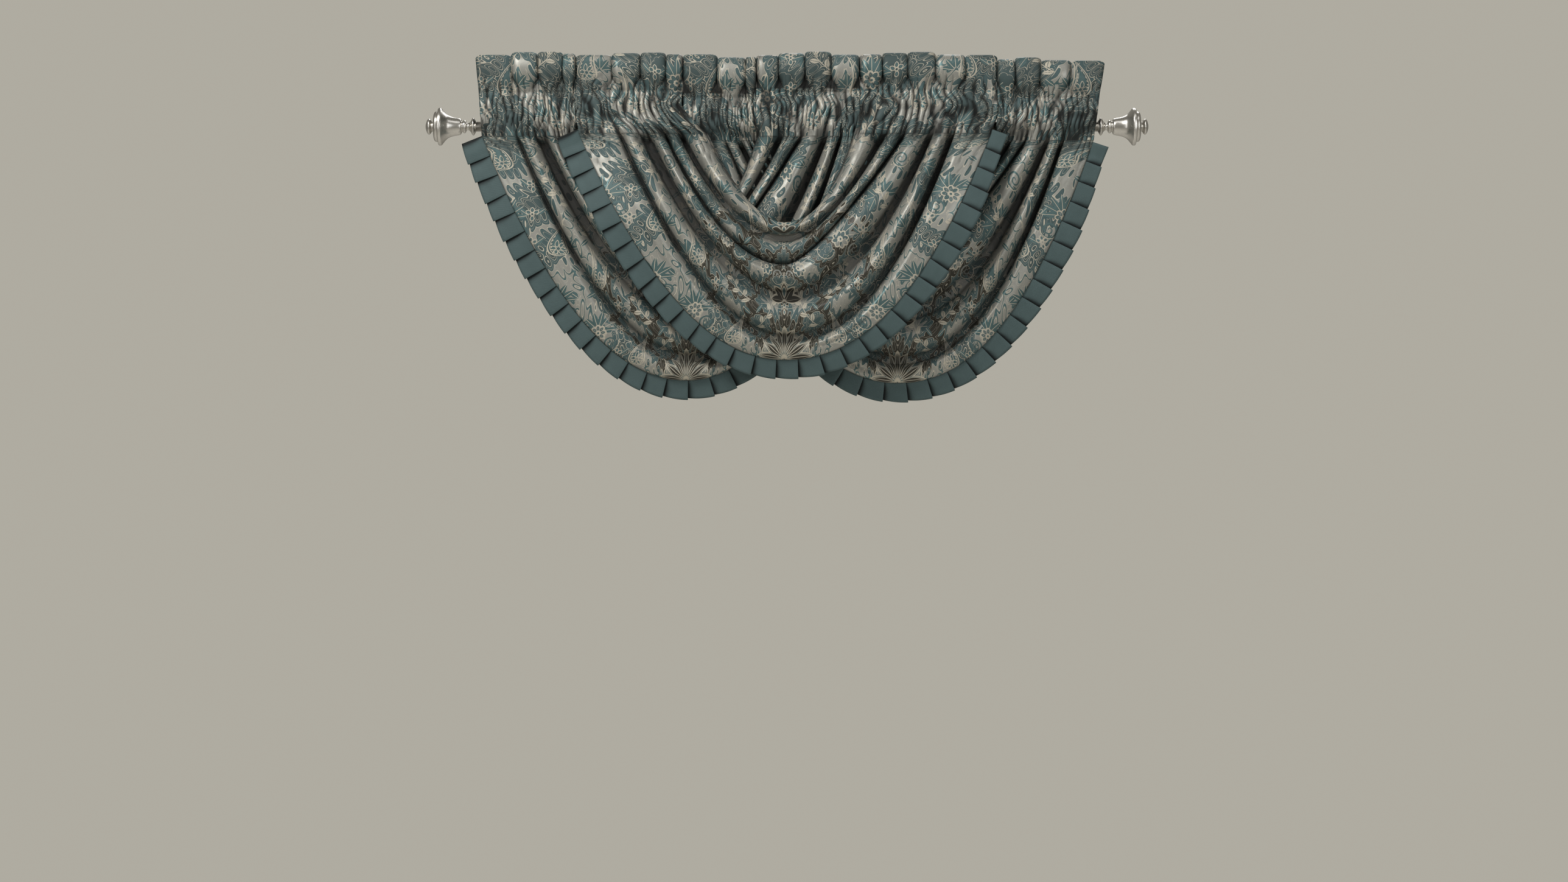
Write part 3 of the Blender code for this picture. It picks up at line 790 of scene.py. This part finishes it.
def wave(value, length):
    """Angle of a wave of that length, in millimetres."""
    return value * (2 * math.pi / length)


def sprig(a, b, bend, reach, pitch, leaf_length, leaf_width):
    """A curved stem along a with leaves on both sides in turn. Returns its leaf, vein and stem."""
    curved = b - a * a * bend
    index = rounded(a / pitch)
    side = cosine(index * math.pi)
    along = a - index * pitch
    across = curved * side
    p, q = turned_place(along, across, 2.0, leaf_length * 0.42, 52)
    within = absolute(a) - reach
    shape = maximum(leaf(p, q, leaf_length, leaf_width), within)
    stem = maximum(absolute(curved) - 0.75, within)
    return shape, absolute(q), stem


def spiral(a, b, pitch, reach, start):
    """Distance to a curl that winds in towards the middle, thinner there."""
    away = hypot(a, b)
    turn = arctan2(b, a) / (2 * math.pi) + start
    place = away / pitch - turn
    offset = absolute(place - rounded(place)) * pitch
    thick = fma(away, 0.085, 0.7)
    return maximum(offset - thick, away - reach)


def petals(a, b, count, first, length, width, spread):
    """Pointed petals or leaves round a point, spread to either side of the angle first. Returns the
    distance to their edges and how far a place lies beside the middle of its petal."""
    away = hypot(a, b)
    angle = arctan2(b, a)
    apart = 2 * math.pi / count
    sector = rounded((angle - first) / apart)
    sector = minimum(maximum(sector, -spread), spread)
    local = angle - first - sector * apart
    along, beside = away * cosine(local), away * sine(local)
    return leaf(along - (length / 2 + PETAL_START), beside, length, width), beside


def paisley(a, b, size):
    """A bent teardrop. Returns the distance to its edge, its width at that place and its middle."""
    bent = b - a * a * (0.9 / size)
    t = clamp((a + size * 0.42) / (1.5 * size))
    width = size * 1.08 * root(t) * (1 - t)
    ends = maximum(-(size * 0.42) - a, a - size * 1.08)
    return maximum((absolute(bent) - width) * 0.8, ends), width, bent


def damask(x, y):
    """Masks of the pattern at a place in the flat cloth: the two darker grounds, teal and cream."""
    x = absolute(x)
    # Leafy shapes of the darker grounds follow the height of a wavy field with a frilled edge
    sway = sine(wave(y, 236)) * 1.25
    field = cosine(wave(x, 188) + sway)
    field = field + cosine(wave(y, 131) + sine(wave(x, 190) + 0.8) * 1.5) * 0.85
    slant, steep = fma(x, 0.62, y * 0.78), fma(x, 0.78, y * -0.62)
    frill = absolute(sine(wave(slant, 68) + sine(wave(steep, 82)) * 1.1))
    frill = frill * absolute(sine(wave(steep, 25) + sine(wave(slant, 94)) * 1.4)) * 0.85
    away = hypot(x / LOW_WIDE, (y - LOW_MIDDLE) / LOW_TALL) + sine(wave(x, 76)) * 0.03
    low_edge = (away - 1 - frill * 0.16) * 165
    low = inside(low_edge)
    # They stand closer together in the headings and in a zone low in the swag
    head = clamp((y + 5) / 30) * (cosine(wave(x, 84) + 0.9) * 0.4 + 0.5)
    closer = cosine(wave(x, 104) + sway * 1.3 + 0.6) * 0.9 + cosine(wave(y, 78)) * 0.8
    field = field + frill + head - 0.14 + low * (closer - field + 0.30)
    level = (field - 0.25) * 28.0
    deeper = (field - 1.12) * 22.0
    shape, heart = inside(-level), inside(-deeper)
    twill = shape + low * (1 - shape * 2 + heart)
    olive = heart * 0.3 + low * (shape - heart * 1.3)

    def contour(height, spread, half_width):
        """A line where the field passes a height. spread turns it into millimetres."""
        return line_at((field - height) * spread, half_width)

    cream = either(line_at(level), line_at(deeper), line_at(low_edge))
    finer = either(contour(0.70, 26.0, 0.45), contour(1.5, 20.0, 0.6), contour(1.86, 20.0, 0.5))
    echo = either(contour(-0.05, 30.0, 0.45), contour(-0.45, 30.0, 0.45))
    cream = either(cream, either(finer, echo * low) * 0.8)
    # Where the first shapes leave wide plain ground, a second leafy shape stands inside it
    hollow = (field + 0.62) * 26.0
    second_shape = inside(hollow)
    twill = twill * (1 - second_shape)
    vein = either(contour(-0.98, 24.0, 0.5), contour(-1.3, 24.0, 0.5))
    cream = either(cream, line_at(hollow, 0.8), vein * 0.8)
    # Brick layout of cells
    column = floor(x / CELL_WIDE)
    odd = column - floor(column * 0.5) * 2
    shifted = y / CELL_TALL + odd * 0.5
    row = floor(shifted)
    a = (x / CELL_WIDE - column - 0.5) * CELL_WIDE
    b = (shifted - row - 0.5) * CELL_TALL
    kind = column + row * 2
    kind = kind - floor(kind / 3) * 3
    first, second, third = inside(kind - 0.5), line_at(kind - 1, 0.5), inside(1.5 - kind)
    # Small rosettes with two leaves where the cells meet
    u, v = absolute(a) - CELL_WIDE / 2, b - rounded(b * (2 / CELL_TALL)) * (CELL_TALL / 2)
    border = rounded(x / CELL_WIDE)
    even = inside(border - floor(border * 0.5) * 2 - 0.5)
    rosette, _ = petals(u, v, 6, math.pi / 2, 9, 6.5, 3)
    rosette = maximum(rosette, 20 - even * 40)
    p, q = turned_place(absolute(u), v, 15, 5, 38)
    pair = leaf(p, q, 21, 8)
    rosette_cream = either(line_at(rosette, 0.6), line_at(hypot(u, v) - 2.6, 0.7) * even)
    rosette_cream = either(rosette_cream, line_at(q, 0.4) * inside(pair))
    a = a * (odd * 2 - 1)
    # A flower with a fan of leaves and two curls
    away = hypot(a, b + 12)
    petal, _ = petals(a, b + 12, 8, 0.2, 13, 9, 4)
    fan, fan_beside = petals(a, b + 7, 13, math.pi / 2, 35, 10.5, 3)
    fan = maximum(fan, 15.5 - away)
    fan_vein = line_at(fan_beside, 0.45) * inside(fan)
    flower_cream = either(line_at(petal), line_at(away - 4.2), fan_vein)
    flower_teal = either(inside(away - 3.0), inside(fan), line_at(petal + 3.0, 0.8))
    p, q = turned_place(absolute(a), b, 29, -31, 20)
    curl = spiral(p, q, 8.0, 14.5, 0.15)
    flower_teal = either(flower_teal, inside(curl))
    flower_cream = either(flower_cream, line_at(hypot(p, q) - 16.2, 0.7) * inside(q - 2))
    # A leafy sprig with groups of teal leaves
    p, q = turned_place(a, b, 0, 2, 60)
    shape, vein, stem = sprig(p, q, 0.008, 46, 14, 17, 8.4)
    sprig_cream = either(inside(shape) * (1 - inside(vein - 0.45)), inside(stem))
    p, q = turned_place(a, b, 4, 2, 60)
    small, small_beside = petals(absolute(q) - 9, p - 6, 8, 0.35, 24, 10.5, 1)
    sprig_teal = inside(small)
    sprig_cream = either(sprig_cream, line_at(small_beside, 0.4) * inside(small))
    # A bent teardrop with beads, a heart of petals and a spray of leaves
    p, q = turned_place(a, b, 0, -8, 68)
    drop, width, bent = paisley(p, q, 41)
    bead_at = p / 5.2
    bead = hypot((bead_at - rounded(bead_at)) * 5.2, absolute(bent) - width * 0.58)
    beads = inside(bead - 1.3) * inside(drop + 4)
    heart, _ = petals(p + 2, bent, 6, 0.0, 12, 6.5, 3)
    drop_cream = either(line_at(drop), line_at(drop + 3.4, 0.5), beads, line_at(heart, 0.6))
    leaves, leaves_beside = petals(a + 24, b + 6, 9, 2.3, 23, 9.5, 2)
    drop_teal = either(line_at(drop + 9.5, 2.6), inside(heart), inside(leaves))
    drop_cream = either(drop_cream, line_at(leaves_beside, 0.4) * inside(leaves))
    teal = either(flower_teal * first, sprig_teal * second, drop_teal * third)
    figures = either(flower_cream * first, sprig_cream * second, drop_cream * third)
    clear = 1 - either(teal, inside(drop) * third, inside(petal) * first)
    teal = teal * (1 - low * 0.8)
    teal = either(teal, inside(hollow + 3.0) * (1 - inside(hollow + 9.0)) * (1 - low) * clear)
    teal = either(teal, either(line_at(rosette + 2.4, 0.8), inside(pair)) * clear)
    figures = either(figures, rosette_cream * clear)
    clear = clear * (1 - inside(rosette))
    cream = either(cream * clear * (1 - teal), figures)
    olive = olive * clear
    # Open flowers one above another on the middle line, the lowest with long leaves at the hem
    for foot, size in OPEN_FLOWERS:
        near, beside = petals(x, y - foot, 9, math.pi / 2, 32 * size, 14 * size, 2)
        core = leaf(y - foot - 17 * size, x, 21 * size, 9.5 * size)
        open_flower = minimum(near, core)
        within = inside(open_flower - 2)
        lines = either(line_at(near, 0.8), line_at(beside, 0.4) * inside(near))
        lines = either(lines * inside(2 - core), line_at(core))
        twill, olive = twill * (1 - within), olive * (1 - within)
        olive = either(olive, inside(near) * (1 - inside(core)))
        teal = either(teal * (1 - within), inside(core + 1.6))
        cream = either(cream * (1 - within), either(lines, line_at(open_flower - 1.2)))
    palm, beside = petals(x, y - PALM_FOOT, 17, math.pi / 2, 66, 14.5, 4)
    within = inside(palm)
    twill, teal = either(twill, within), teal * (1 - within)
    olive = either(olive * (1 - within), inside(palm + 2.4))
    lines = either(line_at(beside, 0.5) * within, line_at(palm + 2.4, 0.4))
    cream = either(cream * (1 - within), either(line_at(palm), lines))
    return twill, olive, teal * (1 - cream), cream


def new_material(name):
    made = bpy.data.materials.new(name)
    made.use_nodes = True
    return made, made.node_tree, made.node_tree.nodes["Principled BSDF"]


def flat_place(tree):
    """Place in the flat cloth, in millimetres."""
    place = tree.nodes.new("ShaderNodeUVMap")
    place.uv_map = "flat_cloth"
    split = tree.nodes.new("ShaderNodeSeparateXYZ")
    tree.links.new(place.outputs[0], split.inputs[0])
    return Value(tree, split.outputs[0]) * 1000, Value(tree, split.outputs[1]) * 1000


def attribute(tree, name):
    """A value stored at each point of the cloth."""
    stored = tree.nodes.new("ShaderNodeAttribute")
    stored.attribute_name = name
    return Value(tree, stored.outputs["Fac"])


def blend_colours(share, one, other):
    """one where share is 0 and other where it is 1; each is a plain colour or a value."""
    tree = share.tree
    mix = tree.nodes.new("ShaderNodeMix")
    mix.data_type = "RGBA"
    tree.links.new(share.socket, mix.inputs["Factor"])
    for slot, colour in ((mix.inputs[6], one), (mix.inputs[7], other)):
        if isinstance(colour, tuple):
            slot.default_value = (*colour, 1)
        else:
            tree.links.new(colour.socket, slot)
    return Value(tree, mix.outputs[2])


def yarn_noise(x, y, along, across, detail=2.0):
    """Uneven streaks of yarn, long along x or y as the two scales say."""
    tree = x.tree
    texture = tree.nodes.new("ShaderNodeTexNoise")
    texture.inputs["Scale"].default_value = 1.0
    texture.inputs["Detail"].default_value = detail
    tree.links.new(joined(x * along, y * across), texture.inputs["Vector"])
    return Value(tree, texture.outputs["Fac"])


def feed(shader, socket, value):
    """Drive one of the shader's sockets."""
    shader.id_data.links.new(value.socket, shader.inputs[socket])


def add_bump(shader, height, strength, distance):
    tree = shader.id_data
    bump = tree.nodes.new("ShaderNodeBump")
    bump.inputs["Strength"].default_value = strength
    bump.inputs["Distance"].default_value = distance
    tree.links.new(height.socket, bump.inputs["Height"])
    tree.links.new(bump.outputs[0], shader.inputs["Normal"])


def scaled(colour, factor):
    return tuple(part * factor for part in colour)


def damask_group():
    """The pattern as one node group, so that both faces of the cloth share it."""
    group = bpy.data.node_groups.new("damask", "ShaderNodeTree")
    for name in ("x", "y"):
        group.interface.new_socket(name, in_out="INPUT", socket_type="NodeSocketFloat")
    for name in ("twill", "olive", "teal", "cream"):
        group.interface.new_socket(name, in_out="OUTPUT", socket_type="NodeSocketFloat")
    start, end = group.nodes.new("NodeGroupInput"), group.nodes.new("NodeGroupOutput")
    masks = damask(Value(group, start.outputs[0]), Value(group, start.outputs[1]))
    for index, mask in enumerate(masks):
        group.links.new(mask.socket, end.inputs[index])
    return group


def jacquard(name, group, colours, roughness, shine, fold_shade):
    """Woven cloth: satin and twill grounds, teal and cream figures, fine yarns and stitched hems, with
    painted shade in the folds, along the seam and below it.
    """
    made, tree, shader = new_material(name)
    x, y = flat_place(tree)
    pattern = tree.nodes.new("ShaderNodeGroup")
    pattern.node_tree = group
    tree.links.new(x.socket, pattern.inputs[0])
    tree.links.new(y.socket, pattern.inputs[1])
    twill, olive, teal, cream = (Value(tree, pattern.outputs[index]) for index in range(4))
    satin, dark, brown, blue, bright, pale = colours
    streak = yarn_noise(x, y, along=0.10, across=1.6)
    ribs = yarn_noise(x, y, along=1.9, across=0.16)
    hatch = clamp(sine((x + y * 1.6) * 2.4) * 0.5 + ribs * 1.1 - 0.05)
    colour = blend_colours(twill, satin, dark)
    colour = blend_colours(olive, colour, brown)
    lustre = blend_colours(hatch, blue, bright)
    colour = blend_colours(teal, colour, lustre)
    colour = blend_colours(cream, colour, pale)
    hem_line = absolute(attribute(tree, "from_hem") * 1000 - HEM_STITCH)
    stitch = clamp((0.9 - hem_line) * 1.4) * 0.55
    uneven = clamp(stitch + (streak - 0.5) * 0.35 + (ribs - 0.5) * 0.25 + 0.08)
    colour = blend_colours(uneven, colour, scaled(satin, 0.25))
    # Painted shade: a dark line along the seam, a painted shadow below it and the stored painted shade
    # deep in the folds
    above = attribute(tree, "from_seam") * 1000
    painted_seam_shade = clamp(1.3 - absolute(above + 1.2) * 0.9) * 0.6
    painted_shadow_under_seam = clamp((above + 9) * 0.11) * inside(above + 1.0) * 0.4
    shade = attribute(tree, "sunk_and_painted_shade") * fold_shade
    shade = clamp(maximum(shade, maximum(painted_seam_shade, painted_shadow_under_seam)))
    colour = blend_colours(shade, colour, scaled(satin, 0.02))
    feed(shader, "Base Color", colour)
    rough = roughness + (twill * 0.16 + cream * 0.1 - teal * 0.06)
    feed(shader, "Roughness", clamp(rough + (streak - 0.5) * 0.2 + shade * 0.3))
    gleam = clamp((1 - maximum(maximum(twill, olive), maximum(cream, shade))) * shine)
    feed(shader, "Metallic", gleam)
    height = streak * 0.35 + ribs * 0.35 + sine((x - y) * 2.9) * 0.06
    add_bump(shader, height, strength=0.5, distance=0.6 * MM)
    shader.inputs["Specular IOR Level"].default_value = 0.25
    return made


def twill_cloth(name, colour, fold_shade):
    """Plain ribbed cloth of the border, with painted shadow beside the folded edges."""
    made, tree, shader = new_material(name)
    x, y = flat_place(tree)
    streak = yarn_noise(x, y, along=0.35, across=2.2)
    ribs = sine((x + y * 0.55) * 3.6)
    worn = yarn_noise(x, y, along=0.03, across=0.05)
    shade = clamp(streak * 0.5 + worn * 0.5 + ribs * 0.06)
    plain = blend_colours(shade, scaled(colour, 0.72), scaled(colour, 1.28))
    # Painted shadow beside the folded edges, from the stored values
    painted_fold_shadow = clamp(attribute(tree, "sunk_and_painted_shade") * fold_shade)
    feed(shader, "Base Color", blend_colours(painted_fold_shadow, plain, scaled(colour, 0.04)))
    feed(shader, "Roughness", clamp(0.46 + streak * 0.25))
    add_bump(shader, ribs * 0.3 + streak * 0.7, strength=0.45, distance=0.5 * MM)
    shader.inputs["Specular IOR Level"].default_value = 0.2
    shader.inputs["Sheen Weight"].default_value = 0.03
    return made


def brushed_metal(name, colour):
    """Nickel brushed round the rod's axis, a little darker and duller in places."""
    made, tree, shader = new_material(name)
    place = tree.nodes.new("ShaderNodeTexCoord")
    split = tree.nodes.new("ShaderNodeSeparateXYZ")
    tree.links.new(place.outputs["Object"], split.inputs[0])
    x, y, z = (Value(tree, split.outputs[index]) * 1000 for index in range(3))
    lines = yarn_noise(x, arctan2(y, z), 3.2, 0.5, 3.0)
    cloudy = yarn_noise(x, z, 0.05, 0.05)
    shade = clamp(lines * 0.35 + cloudy * 0.65)
    feed(shader, "Base Color", blend_colours(shade, scaled(colour, 0.75), colour))
    shader.inputs["Metallic"].default_value = 1.0
    feed(shader, "Roughness", clamp(0.22 + lines * 0.14))
    add_bump(shader, lines, strength=0.12, distance=0.2 * MM)
    return made


def flat_area(flat):
    """Area of the flat cut of a panel, in square metres."""
    a, b, c, d = flat[:-1, :-1], flat[:-1, 1:], flat[1:, 1:], flat[1:, :-1]
    one, other = c - a, d - b
    return float(np.abs(one[..., 0] * other[..., 1] - one[..., 1] * other[..., 0]).sum() / 2)


def fine_outline(outline):
    """The finial's outline with its corners rounded between the entries of the table."""
    at = np.linspace(0, len(outline) - 1, (len(outline) - 1) * FINIAL_STEPS + 1)
    x = smooth_curve(at, [entry[0] for entry in outline])
    radius = smooth_curve(at, [entry[1] for entry in outline])
    return list(zip(np.maximum.accumulate(x) * MM, radius * MM))


def add_lamp(name, place, aim, watts, size, colour):
    lamp = bpy.data.lights.new(name, "AREA")
    lamp.energy = watts
    lamp.color = colour
    lamp.shape = "RECTANGLE"
    lamp.size, lamp.size_y = size
    holder = add_object(name, lamp)
    holder.location = place
    holder.rotation_euler = (Vector(aim) - Vector(place)).to_track_quat("-Z", "Y").to_euler()


def make_floor():
    """A pale floor far below the rod."""
    finish, _, shader = new_material("pale_floor")
    shader.inputs["Base Color"].default_value = (*FLOOR_COLOUR, 1)
    shader.inputs["Roughness"].default_value = FLOOR_ROUGHNESS
    shader.inputs["Emission Color"].default_value = (*FLOOR_GLOW, 1)
    shader.inputs["Emission Strength"].default_value = FLOOR_GLOW_STRENGTH
    corners = [(x * FLOOR_HALF, y * FLOOR_HALF, 0) for x, y in ((-1, -1), (1, -1), (1, 1), (-1, 1))]
    ground = add_mesh("floor", corners, [(0, 1, 2, 3)], [finish])
    ground.location.z = FLOOR_HEIGHT


def make_room():
    """Even light from all round, with a plain backdrop that is brighter than this light."""
    world = bpy.data.worlds.new("studio")
    world.use_nodes = True
    nodes, links = world.node_tree.nodes, world.node_tree.links
    light, backdrop = nodes["Background"], nodes.new("ShaderNodeBackground")
    light.inputs["Color"].default_value = (*ROOM_COLOUR, 1)
    light.inputs["Strength"].default_value = ROOM_STRENGTH
    backdrop.inputs["Color"].default_value = (*BACKDROP, 1)
    path, mix = nodes.new("ShaderNodeLightPath"), nodes.new("ShaderNodeMixShader")
    share = nodes.new("ShaderNodeMath")
    share.operation = "MULTIPLY_ADD"
    share.inputs[1].default_value = BACKDROP_IN_GLOSS
    share.use_clamp = True
    links.new(path.outputs["Is Glossy Ray"], share.inputs[0])
    links.new(path.outputs["Is Camera Ray"], share.inputs[2])
    links.new(share.outputs[0], mix.inputs["Fac"])
    links.new(light.outputs[0], mix.inputs[1])
    links.new(backdrop.outputs[0], mix.inputs[2])
    links.new(mix.outputs[0], nodes["World Output"].inputs["Surface"])
    bpy.context.scene.view_settings.view_transform = "Standard"
    bpy.context.scene.world = world


def make_camera():
    view = bpy.data.cameras.new("camera")
    view.sensor_width = SENSOR_WIDTH
    view.lens = SENSOR_WIDTH * CAMERA_DISTANCE / FRAME_WIDTH
    holder = add_object("camera", view)
    holder.location = (0, -CAMERA_DISTANCE - CLOTH_PLANE, CAMERA_HEIGHT)
    holder.rotation_euler = (math.radians(90), 0, 0)
    bpy.context.scene.camera = holder


def main():
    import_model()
    group = damask_group()
    cloth = jacquard("jacquard", group, FRONT, roughness=0.36, shine=0.32, fold_shade=FOLD_SHADE)
    reverse = jacquard(
        "jacquard_reverse", group, REVERSE, roughness=0.5, shine=0.0, fold_shade=REVERSE_SHADE)
    trim = twill_cloth("border_cloth", TRIM, PAINTED_PLEAT_SHADOW)
    trim_back = twill_cloth("border_reverse", TRIM, REVERSE_SHADE)
    metal = brushed_metal("brushed_nickel", NICKEL)
    for name, swag in SWAGS.items():
        panel, hem, flat = make_panel(name, swag, [cloth, reverse])
        border, strip = make_border(name, hem, swag["border_rise"] * MM, swag["seed"], [trim, trim_back])
        for piece, cut, solid in ((panel, flat, "valance"), (border, strip, "border")):
            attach(piece, "root")
            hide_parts(f"{solid}_{name}")
            flat_area(cut)
    rod = turned("curtain_rod", [(0, ROD_RADIUS), (ROD_RIGHT - ROD_LEFT, ROD_RADIUS)], ROD_SIDES, metal)
    rod.location.x = ROD_LEFT
    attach(rod, "root")
    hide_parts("rod")
    outline = fine_outline(FINIAL_OUTLINE)
    for name, end, way in (("left", ROD_LEFT, -1), ("right", ROD_RIGHT, 1)):
        finial = turned(f"end_{name}", outline, FINIAL_SIDES, metal)
        finial.location.x = end + way * TOUCH_GAP
        finial.rotation_euler.z = math.pi if way < 0 else 0
        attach(finial, "root")
        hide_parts(f"finial_{name}")
    make_floor()
    make_room()
    for lamp in LAMPS:
        add_lamp(*lamp)
    make_camera()


main()
